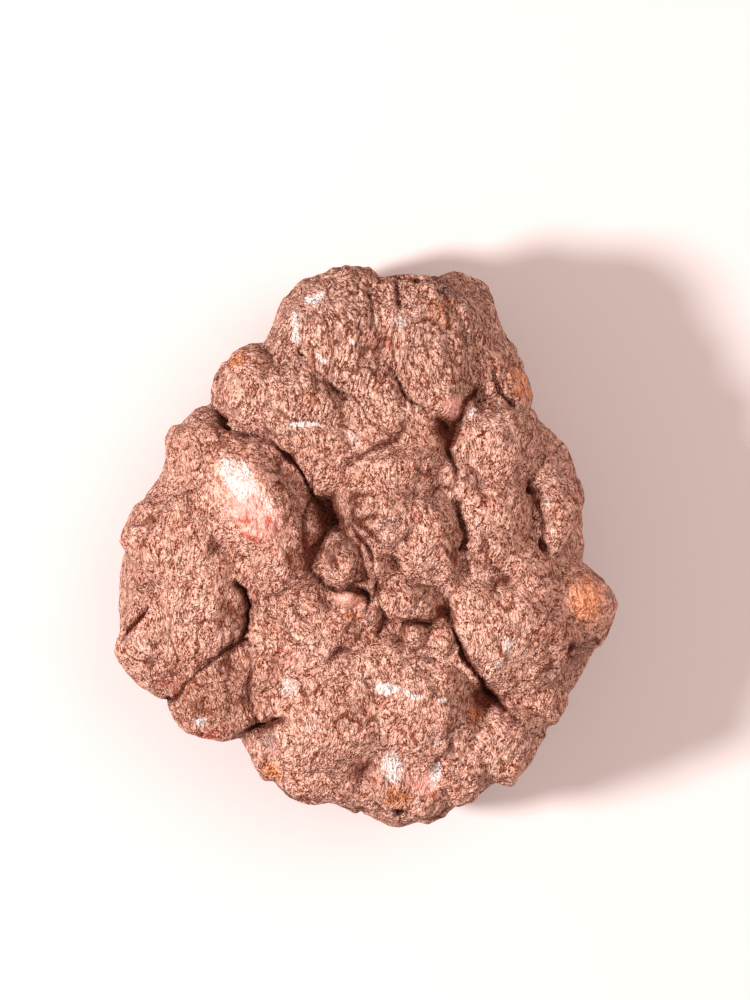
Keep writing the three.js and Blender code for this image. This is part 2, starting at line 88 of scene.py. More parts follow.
# Its knobs on the upper side: centre x and y, half length, half width, turn in degrees, height.
KNOBS = {
    "crown_left": (-4.4, 24.4, 7.6, 7.8, 0, 3.4),
    "crown_right": (7, 23, 9.6, 7, 95, 3.9),
    "crown_tip": (8.6, 16.4, 4.6, 3.6, 60, 3.2),
    "crown_flank": (14.6, 20.6, 7.4, 3.6, -70, 2.3),
    "crown_lip": (16.9, 17.6, 3.6, 1.8, -60, 2.6),
    "brow_tip": (-13.6, 18.2, 5, 4.8, 10, 3.3),
    "brow": (-6.8, 15.8, 6.8, 4.6, -15, 3.2),
    "neck": (-9.1, 22.1, 4.2, 3.6, 0, 2.2),
    "slab_top": (0.2, 17.4, 5.4, 5, 40, 2.7),
    "slab_left": (-5.4, 10.2, 6.2, 4.8, -10, 2.7),
    "slab_middle": (1.6, 12.6, 5.6, 4.2, 25, 2.3),
    "slab_right": (7.2, 12.2, 3, 3.2, 0, 1.3),
    "heart_top": (3.6, 7.8, 5.8, 3.4, 15, 3.2),
    "heart_left": (1.9, 3.4, 5.4, 4.8, -20, 4.2),
    "heart_right": (7, 0.8, 4.8, 5.8, 0, 4.1),
    "heart_foot": (3.9, -3.6, 2.4, 1.6, -10, 2.1),
    "boulder": (-12.2, 4.2, 9.2, 6.4, -57, 4.5),
    "boulder_foot": (-9.2, -1.6, 5, 4.4, -20, 3.3),
    "shoulder": (-18.6, 10.8, 6, 5.6, 0, 3.1),
    "cheek": (-18.4, -7, 6.6, 8, 0, 3.9),
    "left_flank": (-20.8, 2.4, 6.8, 8.8, 0, 3.2),
    "left_foot": (-23.6, -10.4, 5.6, 7, 0, 3),
    "jowl": (-17, -17, 6, 4.8, -20, 2.8),
    "jowl_inner": (-11.5, -15.4, 2.7, 5.2, 5, 2.4),
    "hollow_left": (-8.4, -9, 5.6, 4.4, 0, 2.5),
    "hollow_middle": (-3.2, -10.2, 4.4, 3, 0, 2.2),
    "knob": (-2.9, -1.5, 3.2, 3.9, 0, 4.2),
    "knob_ridge": (0.7, -1, 3.8, 1.6, -58, 3.7),
    "pebble": (-1.9, -6.1, 2.2, 1.6, -10, 2.6),
    "bead": (0.8, -8.2, 1.5, 2, 0, 2.8),
    "bean": (4.8, -7, 4, 2.4, -5, 3.3),
    "pea": (5.6, -10.3, 1.6, 1.6, 0, 2.7),
    "pea_right": (8.4, -10.9, 2.1, 2.2, -15, 2.9),
    "belly_top": (1.8, -13.9, 5.6, 3.4, 5, 3.1),
    "belly_left": (-3.6, -18.8, 8.8, 8, 0, 4.2),
    "belly_right": (6.2, -19, 7.6, 8, 0, 4),
    "belly_rim": (3.8, -26.4, 6.2, 4.4, 0, 2.9),
    "rim_left": (-6.1, -24.2, 6, 4, -15, 2.8),
    "toe": (-11, -23, 3.2, 3.6, 0, 2.3),
    "column_top": (14.8, 11.4, 6.2, 5.4, -20, 3.1),
    "column_edge": (11.4, 7.2, 2.6, 3, 0, 2.6),
    "column_middle": (14.4, 2.2, 4.8, 6.4, 0, 3),
    "column_low": (18.1, -3.2, 5.2, 4.2, 0, 2.7),
    "ridge": (21.7, 3.9, 3, 7.2, 0, 2.8),
    "hip": (16.2, -10.4, 7, 7.4, 0, 4.3),
    "hip_left": (11.9, -9.6, 2.6, 4, 15, 3.1),
    "hip_top": (11.7, -5.6, 3.2, 2.6, 0, 2.7),
    "hip_rim": (20.1, -17.2, 3.8, 3.6, 0, 2.4),
    "spur": (24.2, -6.3, 4.4, 5.4, 0, 2.2),
    "heel": (15.3, -21.9, 4.8, 5.4, 0, 3.7),
    "heel_left": (10.4, -24.1, 4.4, 5.6, 0, 3.3),
}

# Its clefts: half width, depth, then the line that each follows.
CLEFTS = {
    "main_start": (0.32, 1.5, (-17.3, 15.4), (-16.8, 14.3), (-15.6, 12.9)),
    "main_middle": (0.25, 0.7, (-15.6, 12.9), (-14.2, 12.9), (-12.7, 12.7), (-11.5, 12.2)),
    "main": (0.26, 1.2, (-11.5, 12.2), (-10, 11.1), (-8.3, 9.4), (-6.9, 7.5), (-6, 5.6), (-4.5, 3.9)),
    "crown_edge": (0.22, 0.7, (2.5, 19.5), (3.8, 17.1), (5.8, 15.5), (7.1, 14.4), (9.3, 13.1)),
    "crown_foot": (0.35, 1, (12.4, 17.7), (11.5, 16), (10.4, 13.3)),
    "crown_lip": (0.25, 0.9, (14.6, 19.6), (15.4, 17.6), (16.6, 16)),
    "crown_ledge": (0.3, 1.4, (1.9, 28.6), (3.8, 28.5), (5.4, 28)),
    "crown_split": (0.3, 0.6, (6.5, 28.8), (8.7, 27), (10.4, 24.3), (11.1, 22.1)),
    "crown_groove": (0.25, 0.8, (-0.9, 27.9), (-0.8, 23.2)),
    "crown_groove_right": (0.25, 0.8, (0.4, 27.4), (0.7, 22.1)),
    "crown_nick": (0.3, 0.7, (3.2, 28.9), (3.6, 25.9)),
    "column": (0.25, 0.8, (10.2, 12.9), (9.2, 10.5), (9.8, 8.5), (9.3, 6.3), (10.4, 3.9), (11.2, 1.2),
               (10.4, -1)),
    "brow": (0.3, 0.8, (-7.2, 21.5), (-6, 19.7), (-4.5, 17.7), (-2.3, 16)),
    "slab": (0.3, 0.6, (-1.9, 8.9), (0.7, 10.5), (3.5, 12), (4.3, 13.8)),
    "slab_foot": (0.3, 0.7, (-2.5, 5), (-0.1, 6.4), (1.6, 6)),
    "knob_right": (0.22, 0.6, (-1.7, 2.6), (-0.9, 0.9), (0.1, -0.7), (0.8, -2.7), (1.3, -4.9), (0.6, -6.2)),
    "knob_left": (0.25, 0.5, (-3.9, 1.9), (-5.7, -0.5), (-6, -3.2), (-4.4, -4.8)),
    "heart": (0.22, 0.6, (-1.7, 3.2), (0.4, 1.5), (1.6, 0.1), (4, 0.5), (5, 2.4)),
    "hollow_top": (0.22, 0.6, (-6.7, -4.3), (-8.3, -4.9), (-10.5, -5.8)),
    "cheek": (0.26, 1.3, (-14.6, -4.3), (-13.7, -5), (-13, -6.5), (-13.6, -9.1), (-13.8, -10.9)),
    "jowl": (0.28, 1.1, (-13.3, -10.6), (-15.8, -11.7), (-17.3, -13.3), (-19.3, -15), (-21.7, -16.7)),
    "jowl_back": (0.3, 0.9, (-13, -12), (-12.9, -15.9), (-11.4, -19.2)),
    "hollow_foot": (0.3, 0.6, (-8.3, -14.2), (-5, -12.8), (-1.5, -11.7), (3.2, -11.7)),
    "pebble": (0.2, 0.7, (-3.6, -4.7), (-1.7, -4.8), (0, -6), (0.1, -7.3)),
    "bead": (0.22, 0.6, (1.3, -4.9), (1.9, -7.6), (1.4, -9.6)),
    "bean_foot": (0.3, 0.8, (4, -8.9), (7.1, -9), (9.3, -8)),
    "pea": (0.22, 0.6, (4.3, -10.4), (6.2, -11.9), (8.2, -12.9)),
    "hip": (0.26, 1.3, (9.5, -8.4), (10.4, -10.6), (11.2, -12.8), (12.8, -15), (14.8, -17.5), (15.6, -18.2)),
    "hip_tail": (0.25, 0.6, (15.6, -18.2), (16.8, -18.9), (18.6, -20.2)),
    "heel": (0.22, 0.3, (13.2, -19.6), (13.7, -21.9), (14.5, -24.7)),
    "toe": (0.35, 1.4, (-12.2, -20.3), (-10.7, -19.9), (-9.4, -19.4)),
    "ridge": (0.25, 0.6, (19.3, 7.6), (19.3, 5), (19.8, 3), (19.4, 0.6), (19.9, -1), (21.4, -2.4)),
    "rim": (0.3, 1.4, (3.2, -28.7), (7.1, -29), (9.3, -28.4)),
    "nick": (0.28, 1.2, (-24.5, -6.9), (-25.8, -9.5)),
}

# Its pits and broad hollows: centre x and y, radius, depth.
HOLLOWS = {
    "centre": (-3.4, 1.6, 5, 0.5),
    "deep_pit": (-3.4, 3, 0.8, 1.2),
    "bean_pit": (8.8, -7.3, 0.7, 1),
    "dot_pit": (4.2, -9.7, 0.5, 0.6),
    "crown_pit": (9.2, 12.8, 1.3, 1.4),
    "crown_dot": (-3.1, 22.4, 0.6, 0.8),
    "hip_pit": (13.8, -16.6, 1.1, 1),
    "hip_slope": (12.4, -17.4, 2, 0.5),
    "spur_pit": (22.2, -11.6, 1, 1.4),
    "ridge_pit": (19.4, 6.2, 0.6, 0.9),
    "ridge_pit_low": (19.5, 0.2, 0.6, 0.8),
    "cheek_slope": (-14.4, -7.6, 2.2, 0.7),
    "belly_dip": (-0.6, -24.1, 1.8, 0.7),
    "flank_dot": (-16.6, -0.6, 0.6, 0.8),
    "column_dip": (15.2, -3.9, 1, 0.9),
}


def mix(a, b, t):
    return a + (b - a) * t


def smoothstep(start, end, value):
    t = np.clip((value - start) / (end - start), 0, 1)
    return t * t * (3 - 2 * t)


def grid_number(x, y, z, series=0):
    """A number from 0 to 1 that belongs to a point of the whole-number grid."""
    word = 0xFFFFFFFF
    h = (x * 374761393 + y * 668265263 + z * 1274126177 + series * 974711) & word
    h = ((h ^ (h >> 13)) * 1274126177) & word
    return ((h ^ (h >> 16)) & word) / 4294967296


def noise(points, size, series):
    """Smooth noise from -1 to 1 with swells of a given size, or of a size along each axis."""
    place = points / np.asarray(size, float) + 19 * series
    cell = np.floor(place).astype(np.int64)
    blend = smoothstep(0, 1, place - cell)
    total = np.zeros(len(points))
    for corner in np.ndindex(2, 2, 2):
        near = np.where(corner, blend, 1 - blend).prod(axis=1)
        total += near * grid_number(*(cell + corner).T)
    return 2 * total - 1


def bent(points, size, reach, series):
    """The points moved by up to the given reach, so that a pattern read there looks grown."""
    return points + reach * np.stack([noise(points, size, series + axis) for axis in range(3)], axis=1)


def scattered(points, size, series):
    """The nearest of scattered points, one in each cell: its distance in cell sizes and its number."""
    place = points / np.asarray(size, float)
    cell = np.floor(place).astype(np.int64)
    nearest = np.full(len(points), np.inf)
    number = np.zeros(len(points))
    for step in np.ndindex(3, 3, 3):
        corner = cell + step - 1
        jitter = np.stack([grid_number(*corner.T, series + axis) for axis in range(3)], axis=1)
        distance = np.linalg.norm(corner + jitter - place, axis=1)
        number = np.where(distance < nearest, jitter[:, 0], number)
        nearest = np.minimum(nearest, distance)
    return nearest, number


def growth(height):
    """How much larger things look at a height than at the girth."""
    return (EYE[2] - GIRTH_HEIGHT) / (EYE[2] - height)


def as_seen(points):
    larger = growth(points[:, 2])
    return EYE[0] + (points[:, 0] - EYE[0]) * larger, EYE[1] + (points[:, 1] - EYE[1]) * larger


# The body under the knobs, worked out from its silhouette.
outline = np.array(SILHOUETTE)
outline_turns = np.arctan2(outline[:, 1], outline[:, 0])
outline_radii = np.hypot(outline[:, 0], outline[:, 1])
SECTOR = math.pi / 6
SECTOR_STEPS = 8
GOLDEN_TURN = math.pi * (3 - math.sqrt(5))


def silhouette_radius(turn):
    return np.interp(turn, outline_turns, outline_radii, period=2 * math.pi)


def plain_radius(turn):
    """The silhouette without its notches: a mean over a sector."""
    steps = range(-SECTOR_STEPS, SECTOR_STEPS + 1)
    return sum(silhouette_radius(turn + SECTOR * i / SECTOR_STEPS) for i in steps) / len(steps)


def body_points(directions, rim_radius, crowding):
    """Points of the body for directions from its middle, and the ways out of it."""
    rise = directions[:, 2] + crowding * (1 - directions[:, 2] ** 2)
    level = np.sqrt(np.maximum(0, 1 - rise ** 2))
    scale = (level ** FULLNESS + np.abs(rise) ** FULLNESS) ** (-1 / FULLNESS)
    reach, lift = level * scale, rise * scale
    half = np.where(rise >= 0, CROWN_RISE, FOOT_DROP)
    turn = np.arctan2(directions[:, 1], directions[:, 0])
    radius = mix(plain_radius(turn), rim_radius(turn), smoothstep(NOTCH_FADE, 1, reach))
    across = radius * reach
    points = np.stack([across * np.cos(turn), across * np.sin(turn), GIRTH_HEIGHT + half * lift], axis=1)
    outward = reach ** (FULLNESS - 1) / radius
    upward = np.sign(lift) * np.abs(lift) ** (FULLNESS - 1) / half
    ways = np.stack([outward * np.cos(turn), outward * np.sin(turn), upward], axis=1)
    return points, ways / np.linalg.norm(ways, axis=1, keepdims=True)


# The knobs of the lower sides and the underside lie on a golden spiral.
UNDER_KNOBS = 34
UNDER_TOP = -0.12
UNDER_RADIUS = 6.8
UNDER_SPREAD = 1.9
UNDER_STEEPNESS = 0.33
knobs = []
for x, y, half_length, half_width, turn, height in KNOBS.values():
    share = min(1, math.hypot(x, y) / float(plain_radius(math.atan2(y, x))))
    z = GIRTH_HEIGHT + CROWN_RISE * (1 - share ** FULLNESS) ** (1 / FULLNESS)
    centre = (EYE[0] + (x - EYE[0]) / growth(z), EYE[1] + (y - EYE[1]) / growth(z), z)
    tall = TALLNESS * (half_length + half_width) / 2
    knobs.append((centre, math.radians(turn), (half_length, half_width, tall), height))
for i in range(UNDER_KNOBS):
    level = max(-1, mix(UNDER_TOP, -1, (i + 0.5) / UNDER_KNOBS) - UPWARD_CROWDING)
    turn = i * GOLDEN_TURN
    across = math.sqrt(1 - level ** 2)
    direction = np.array([[across * math.cos(turn), across * math.sin(turn), level]])
    centre = body_points(direction, silhouette_radius, UPWARD_CROWDING)[0][0]
    radius = UNDER_RADIUS + UNDER_SPREAD * math.sin(i * 2.4)
    knobs.append((centre, 0, (radius, radius, radius), UNDER_STEEPNESS * radius))


def knob_relief(points):
    place = bent(points, 5.5, 1.1, 11)
    total = np.full(len(points), math.exp(DEEPEST_BETWEEN / SOFTNESS))
    for centre, turn, radii, height in knobs:
        offset = place - centre
        along = (offset[:, 0] * math.cos(turn) + offset[:, 1] * math.sin(turn)) / radii[0]
        aside = (offset[:, 1] * math.cos(turn) - offset[:, 0] * math.sin(turn)) / radii[1]
        distance = np.sqrt(along ** 2 + aside ** 2 + (offset[:, 2] / radii[2]) ** 2)
        swell = height * (1 - distance ** DOME_POWER)
        total += np.exp(np.maximum(-40, swell / SOFTNESS))
    return SOFTNESS * np.log(total) - MEAN_RELIEF


def distance_to_line(x, y, line):
    nearest = np.full(len(x), np.inf)
    for (ax, ay), (bx, by) in zip(line[:-1], line[1:]):
        run = (bx - ax) ** 2 + (by - ay) ** 2
        t = np.clip(((x - ax) * (bx - ax) + (y - ay) * (by - ay)) / run, 0, 1)
        nearest = np.minimum(nearest, np.hypot(x - mix(ax, bx, t), y - mix(ay, by, t)))
    return nearest


def cut_depth(points):
    """What the clefts and pits take away, with ragged edges and a depth that comes and goes."""
    x, y = as_seen(bent(bent(points, 2.6, 0.5, 21), 0.9, 0.22, 24))
    waxing = 1 + 0.55 * noise(points, 2.8, 27)
    depth = np.zeros(len(points))
    for half_width, deep, *line in CLEFTS.values():
        distance = distance_to_line(x, y, line) / (half_width * waxing)
        depth = np.maximum(depth, deep * waxing * np.exp(-(distance ** 2)))
    for cx, cy, radius, deep in HOLLOWS.values():
        depth += deep * np.exp(-((x - cx) ** 2 + (y - cy) ** 2) / radius ** 2)
    return depth * smoothstep(*CUT_FADE, points[:, 2])


def unevenness(points):
    lumps = scattered(bent(points, 4, 1.2, 14), 5, 71)[0]
    return 0.5 * noise(points, 8, 1) + 0.3 * noise(points, 3.6, 2) + 0.75 * (0.5 - lumps)


# The knobs stand out at the rim too, so the body's rim is the silhouette less the most that they add there.
RIM_HEIGHTS = range(6, 19, 2)


def rim_radius(turn):
    radius = silhouette_radius(turn)
    most = np.full(len(turn), -np.inf)
    for height in RIM_HEIGHTS:
        half = CROWN_RISE if height > GIRTH_HEIGHT else FOOT_DROP
        reach = (1 - (abs(height - GIRTH_HEIGHT) / half) ** FULLNESS) ** (1 / FULLNESS)
        across = radius * reach
        rim = np.stack([across * np.cos(turn), across * np.sin(turn), np.full(len(turn), height)], axis=1)
        most = np.maximum(most, knob_relief(rim) + unevenness(rim) - radius * (1 - reach))
    return radius - most


# A sphere of even triangles gives the directions. Each edge of a plain 20-sided one is cut into equal parts.
EDGE_PARTS = 99
sphere = bmesh.new()
bmesh.ops.create_icosphere(sphere, subdivisions=1, radius=1)
bmesh.ops.subdivide_edges(sphere, edges=sphere.edges[:], cuts=EDGE_PARTS - 1, use_grid_fill=True)
rind_mesh = bpy.data.meshes.new("geode_rind")
sphere.to_mesh(rind_mesh)
sphere.free()
count = len(rind_mesh.vertices)
directions = np.zeros(count * 3)
rind_mesh.vertices.foreach_get("co", directions)
directions = directions.reshape(-1, 3)
directions /= np.linalg.norm(directions, axis=1, keepdims=True)


def move_vertices(points):
    rind_mesh.vertices.foreach_set("co", (points * MM).ravel())
    rind_mesh.update()


def surface_normals():
    normals = np.zeros(count * 3)
    rind_mesh.vertex_normals.foreach_get("vector", normals)
    return normals.reshape(-1, 3)


RIM_STEPS = 1440
rim_turns = np.linspace(-math.pi, math.pi, RIM_STEPS, endpoint=False)
rim_table = rim_radius(rim_turns)
place, _ = body_points(directions, silhouette_radius, UPWARD_CROWDING)
relief = knob_relief(place)
cuts = cut_depth(place)
points, ways = body_points(
    directions, lambda turn: np.interp(turn, rim_turns, rim_table, period=2 * math.pi), UPWARD_CROWDING)
points += ways * (relief + unevenness(place) - cuts)[:, None]
move_vertices(points)

# The skin: lumps and folds on the knobs, hairline cracks, fluting on the crown and the heel, and crumbs.
LUMP_HEIGHT = 0.22
FOLD_HEIGHT = 0.32
FINE_FOLD_HEIGHT = 0.2
CRACK_DEPTH = 0.4
CRACK_WIDTH = 0.06  # on the scale of the noise whose zero line the crack follows
FLUTE_HEIGHT = 0.5
FAN_TURN = math.radians(62)
FLAKE_HEIGHT = 0.152
SMALL_FLAKE_HEIGHT = 0.136
CRUMB_STEP = 0.08
MEAN_FOLD = 0.35  # taken off the folds, so that they don't make the stone larger


def folds(points, size, series):
    """Rounded swells with a sharp crease from one to the next: 0 in the creases, up to 1."""
    return np.abs(noise(points, size, series))


normals = surface_normals()
lumps = scattered(bent(points, 2.4, 0.9, 34), 2.6, 80)[0]
skin = LUMP_HEIGHT * (0.35 - lumps ** 2)
skin += FOLD_HEIGHT * (folds(bent(points, 2.2, 0.7, 31), 2.9, 35) - MEAN_FOLD)
skin += FINE_FOLD_HEIGHT * (folds(bent(points, 1.2, 0.4, 32), (1.3, 1.7, 1.5), 36) - MEAN_FOLD)
crack_zone = smoothstep(0, 0.5, noise(points, 6.5, 37))
crack_line = noise(bent(points, 1.6, 0.5, 28), 4.2, 39)
cracks = crack_zone * np.exp(-((crack_line / CRACK_WIDTH) ** 2))
skin -= CRACK_DEPTH * cracks
fluting_zone = smoothstep(11, 17, points[:, 1]) * smoothstep(-13, -9, points[:, 0])
flutes = folds(bent(points, 3, 0.6, 41), (0.95, 5, 3), 44) - MEAN_FOLD
fan_zone = smoothstep(-15, -19, points[:, 1]) * smoothstep(4, 9, points[:, 0])
along_fan = points[:, 0] * math.cos(FAN_TURN) + points[:, 1] * math.sin(FAN_TURN)
across_fan = points[:, 1] * math.cos(FAN_TURN) - points[:, 0] * math.sin(FAN_TURN)
fan = folds(np.stack([along_fan, across_fan, points[:, 2]], axis=1), (4, 1, 3), 47) - MEAN_FOLD
skin += FLUTE_HEIGHT * (fluting_zone * flutes + fan_zone * fan)
crumb_place = bent(bent(points, 9, 1.5, 62), 1.4, 0.4, 50)
crumb_number = scattered(crumb_place, (0.7, 1, 0.8), 88)[1]
flakes = folds(crumb_place, (1, 1.5, 1.2), 52)
small_flakes = folds(crumb_place, (0.7, 0.9, 0.8), 57)
crumbs = FLAKE_HEIGHT * (flakes - MEAN_FOLD) + SMALL_FLAKE_HEIGHT * (small_flakes - MEAN_FOLD)
crumbs += CRUMB_STEP * (crumb_number - 0.5)

# Places that are smooth: a bare chip on the boulder, a pebble and small scars.
# Centre x and y, half length, half width, turn in degrees, strength.
SMOOTH = {
    "chip": (-13, 4.8, 6.4, 3.3, -60, 0.85),
    "pebble": (-1.9, -6.1, 1.9, 1.2, -10, 1),
    "crown_scar": (9.6, 15.2, 1.8, 1.5, 0, 0.8),
    "crown_lip": (17.2, 17.7, 2.8, 1.1, -60, 0.7),
    "belly_scar": (6.5, -26.3, 1.5, 1.4, 30, 0.8),
    "spur": (24.6, -6, 3.2, 4.4, 0, 0.5),
}


PATCH_EDGE = (0.3, 1.3)  # where a patch starts to fade and where it ends, in its half lengths
PATCH_HEIGHTS = (4, 9)  # no patch reaches below the first, and all show in full above the second
PATCH_SLOPES = (0.05, 0.4)  # the same for how far a place faces up, from 0 to 1


def patch(x, y, half_length, half_width, turn, strength):
    """How much of a patch of the upper side shows at each place, fading towards its edge."""
    turn = math.radians(turn)
    dx, dy = patch_x - x, patch_y - y
    along = (dx * math.cos(turn) + dy * math.sin(turn)) / half_length
    aside = (dy * math.cos(turn) - dx * math.sin(turn)) / half_width
    return strength * (1 - smoothstep(*PATCH_EDGE, np.hypot(along, aside)))


def strongest(places):
    """The patches together, faded out on the lower sides, the steep sides and the underside."""
    mask = np.zeros(count)
    for place in places.values():
        mask = np.maximum(mask, patch(*place))
    return mask * smoothstep(*PATCH_HEIGHTS, points[:, 2]) * smoothstep(*PATCH_SLOPES, normals[:, 2])


# The rim and the sides are worn, so the skin stands out less there than on the upper side.
WORN_SIDES = 0.55
patch_x, patch_y = as_seen(bent(points, 1.3, 0.4, 60))
smooth = strongest(SMOOTH)
worn = mix(WORN_SIDES, 1, smoothstep(0, 0.6, normals[:, 2]))
skin_height = worn * (skin * (1 - 0.5 * smooth) + crumbs * (1 - 0.85 * smooth))
points += normals * skin_height[:, None]
points[:, 2] = np.maximum(SEAT_HEIGHT, points[:, 2])
move_vertices(points)
rind_mesh.polygons.foreach_set("use_smooth", [True] * len(rind_mesh.polygons))

# Its marks on the upper side: centre x and y, half length, half width, turn in degrees, strength.
WHITE = {
    "chip": (-13.8, 7.2, 3.2, 2, -57, 0.95),
    "chip_side": (-11.2, 4.9, 2.2, 0.6, -62, 0.6),
    "crown_spot": (-5.8, 27.2, 1.5, 0.6, 25, 0.85),
    "crown_streak": (-7.9, 24.1, 0.6, 2.4, 6, 0.75),
    "crown_left": (-9, 25.6, 0.9, 0.7, 0, 0.6),
    "crown_valley": (3.6, 24.6, 1, 1.6, 0, 0.5),
    "crown_foot": (-4.9, 20.6, 1.2, 0.5, -35, 0.7),
    "crown_middle": (-1.7, 22.6, 0.5, 0.5, 0, 0.8),
    "slab": (-1.6, 12, 1.6, 1.2, -30, 0.45),
    "vein": (-6.6, 13.2, 3.3, 0.35, -4, 0.9),
    "column_top": (11.5, 14.4, 0.5, 0.9, 0, 0.8),
    "column": (12.4, 3, 0.5, 1.6, 0, 0.5),
    "ridge": (20.8, 7.2, 0.5, 0.9, 0, 0.6),
    "ridge_middle": (20, 4.8, 0.4, 1.2, 0, 0.5),
    "ridge_low": (20.6, 1.9, 0.4, 1, 0, 0.5),
    "hip": (15.5, -10.9, 1.3, 1.5, 0, 0.5),
    "hip_low": (14.5, -13.2, 1.2, 0.8, 0, 0.5),
    "jowl_side": (-8.3, -15.7, 2, 1.6, 20, 0.52),
    "belly_left": (-5.9, -19.4, 2, 1.8, 0, 0.4),
    "sparkle": (2.4, -15.9, 2.2, 0.55, -4, 0.75),
    "sparkle_middle": (5.4, -16.4, 1.8, 0.5, -4, 0.75),
    "sparkle_right": (8.3, -16.9, 0.7, 0.5, 0, 0.9),
    "belly_foot": (2.9, -24.4, 1.8, 2.8, 12, 0.68),
    "belly_scar": (7.4, -25.4, 0.9, 2.2, -18, 0.7),
    "heel": (8, -21.6, 0.5, 1.2, 0, 0.5),
    "rim_left": (-18.4, -19.4, 0.9, 0.8, 0, 0.6),
}
PINK = {
    "chip": (-12.5, 3.4, 4.8, 3.2, -60, 1),
    "pebble": (-1.8, -6.1, 1.7, 1.1, -10, 0.55),
    "crown_tip": (9.6, 15.2, 1.7, 1.5, 0, 1),
    "crown": (-1.2, 19.6, 1.4, 1, 30, 0.7),
    "crown_right": (3.2, 27.2, 1.4, 1.6, 0, 0.6),
    "column": (13.1, 6.7, 1.8, 1.5, 0, 0.7),
    "belly_foot": (6.3, -26.2, 2, 1.7, 20, 1),
    "belly_right": (9.3, -21.8, 1.2, 1, 0, 0.6),
    "hollow": (-8.6, -12.9, 2.2, 1, 10, 0.6),
}
ORANGE = {
    "brow_tip": (-14.7, 20.5, 1.9, 1.3, 0, 1),
    "brow": (-6.1, 16.4, 1.9, 1.7, 0, 0.6),
    "crown_top": (8.3, 25.8, 1.7, 2.8, 15, 1),
    "crown_lip": (17, 18, 3.6, 1.6, -62, 1),
    "spur": (24.2, -6, 3, 4.4, 0, 0.65),
    "toe": (-10.5, -25, 1.8, 1, 0, 0.9),
    "belly_foot": (3.6, -27.6, 2.4, 1.2, 0, 1),
    "hip_slope": (12.2, -18.6, 1.3, 2, 0, 0.7),
    "pebble_foot": (-1.7, -7.8, 1.4, 0.6, 0, 0.9),
    "heel": (15.5, -24.6, 2, 1.6, 0, 0.5),
}
# Painted shade, in a brown tone: on flanks that face away from the key light, in recesses and under ledges.
PAINTED_SHADE_PATCHES = {
    "neck": (-9.6, 19.9, 3.4, 1.6, -15, 0.8),
    "crown_ledge": (3.6, 28.9, 2.6, 0.9, -6, 1),
    "hip_side": (21.2, -10.2, 1.4, 2.8, -40, 0.9),
    "boulder_side": (-8.4, 6, 5.5, 2.4, -52, 1),
    "boulder_foot": (-6.2, -0.4, 1.9, 3.6, 10, 0.8),
    "slab_corner": (7.2, 12.4, 2.4, 3, 0, 0.8),
    "slab": (-2.6, 15.4, 3.4, 1.6, -40, 0.5),
    "crown_side": (12.4, 20.6, 2.6, 6.4, 10, 0.6),
    "cheek_side": (-15.3, -7.4, 1.6, 4, 0, 0.7),
    "jowl": (-17, -17, 6.6, 4.8, -20, 1),
    "jowl_inner": (-12, -16, 1.6, 4.4, 0, 0.8),
    "knob_side": (0, -2.4, 1.1, 3, 0, 0.7),
    "bean_side": (7.4, -7.2, 1.6, 1.8, 0, 0.8),
    "heart_side": (10, 0.4, 1.2, 3.4, 0, 0.5),
    "hip_slope": (12.3, -16.8, 2, 2.4, 0, 0.6),
    "belly_dip": (-0.8, -24, 2.4, 2.2, 0, 0.6),
    "brow_side": (-5.6, 19.4, 2.6, 1.8, -30, 0.5),
}
RED = {
    "crown": (1.4, 22.4, 1.5, 1.1, 0, 0.9),
    "chip_foot": (-12.8, 0.9, 1.9, 0.8, -10, 0.75),
    "chip_spot": (-13.4, 2.6, 0.9, 0.6, 0, 0.9),
    "chip_spot_right": (-10.8, 2.6, 0.5, 1, 0, 0.9),
    "rim_left": (-22, -15.4, 1.9, 0.6, -20, 0.9),
    "rim_low": (-17.2, -20.9, 2.6, 0.6, 0, 0.9),
    "hollow": (-8.9, -11.7, 1.7, 0.4, 5, 0.8),
    "bean_foot": (3.2, -8.2, 0.6, 0.5, 0, 0.8),
    "belly_foot": (7.4, -27.4, 0.9, 0.5, 0, 0.8),
    "nick": (-25.2, -8.2, 0.4, 1.6, -28, 0.9),
}
GREY = {
    "crown_top": (9, 27.9, 1.8, 1.1, -20, 1),
    "spur_tip": (26.9, -5.7, 0.6, 0.6, 0, 1),
    "toe": (-10.7, -21.3, 1.7, 1.3, 15, 0.7),
    "notch": (6.8, -12.2, 0.9, 0.6, -30, 0.8),
    "heel": (8, -23.6, 0.5, 1.5, 0, 0.8),
    "heart": (2.2, 2.8, 0.9, 0.7, 0, 0.7),
    "cleft": (10.6, 13.6, 0.9, 0.5, 0, 0.7),
}


def store(name, values):
    attribute = rind_mesh.attributes.new(name, "FLOAT", "POINT")
    attribute.data.foreach_set("value", values.astype(np.float32))


# What the colours need to know of each place: how deep it lies and how its crumbs stand, which set the
# painted shade in the clefts and between the crumbs, and which marks it has.
valley = smoothstep(0.2, -1.6, relief)
store("deep", np.clip(np.clip(cuts / 1.1, 0, 1) + 0.35 * valley + 0.6 * cracks, 0, 1))
store("crumbs", (crumbs - crumbs.min()) / (crumbs.max() - crumbs.min()))
store("crumb_tone", crumb_number)
store("smooth", smooth)
store("fluted", fluting_zone)
marks = {"white": WHITE, "pink": PINK, "orange": ORANGE, "painted_shade": PAINTED_SHADE_PATCHES, "red": RED, "grey": GREY}
for name, places in marks.items():
    store(name, strongest(places))

rind = bpy.data.objects.new("geode_rind", rind_mesh)
bpy.context.scene.collection.objects.link(rind)

# The rind's finish: clay coloured by iron, rough and matt, with painted highlights on the crumbs and painted
# shade between them.
rind_material = bpy.data.materials.new("rind")
rind_material.use_nodes = True
nodes = rind_material.node_tree.nodes
links = rind_material.node_tree.links
shader = nodes["Principled BSDF"]
shader.inputs["Roughness"].default_value = 0.9
shader.inputs["Specular IOR Level"].default_value = 0.1


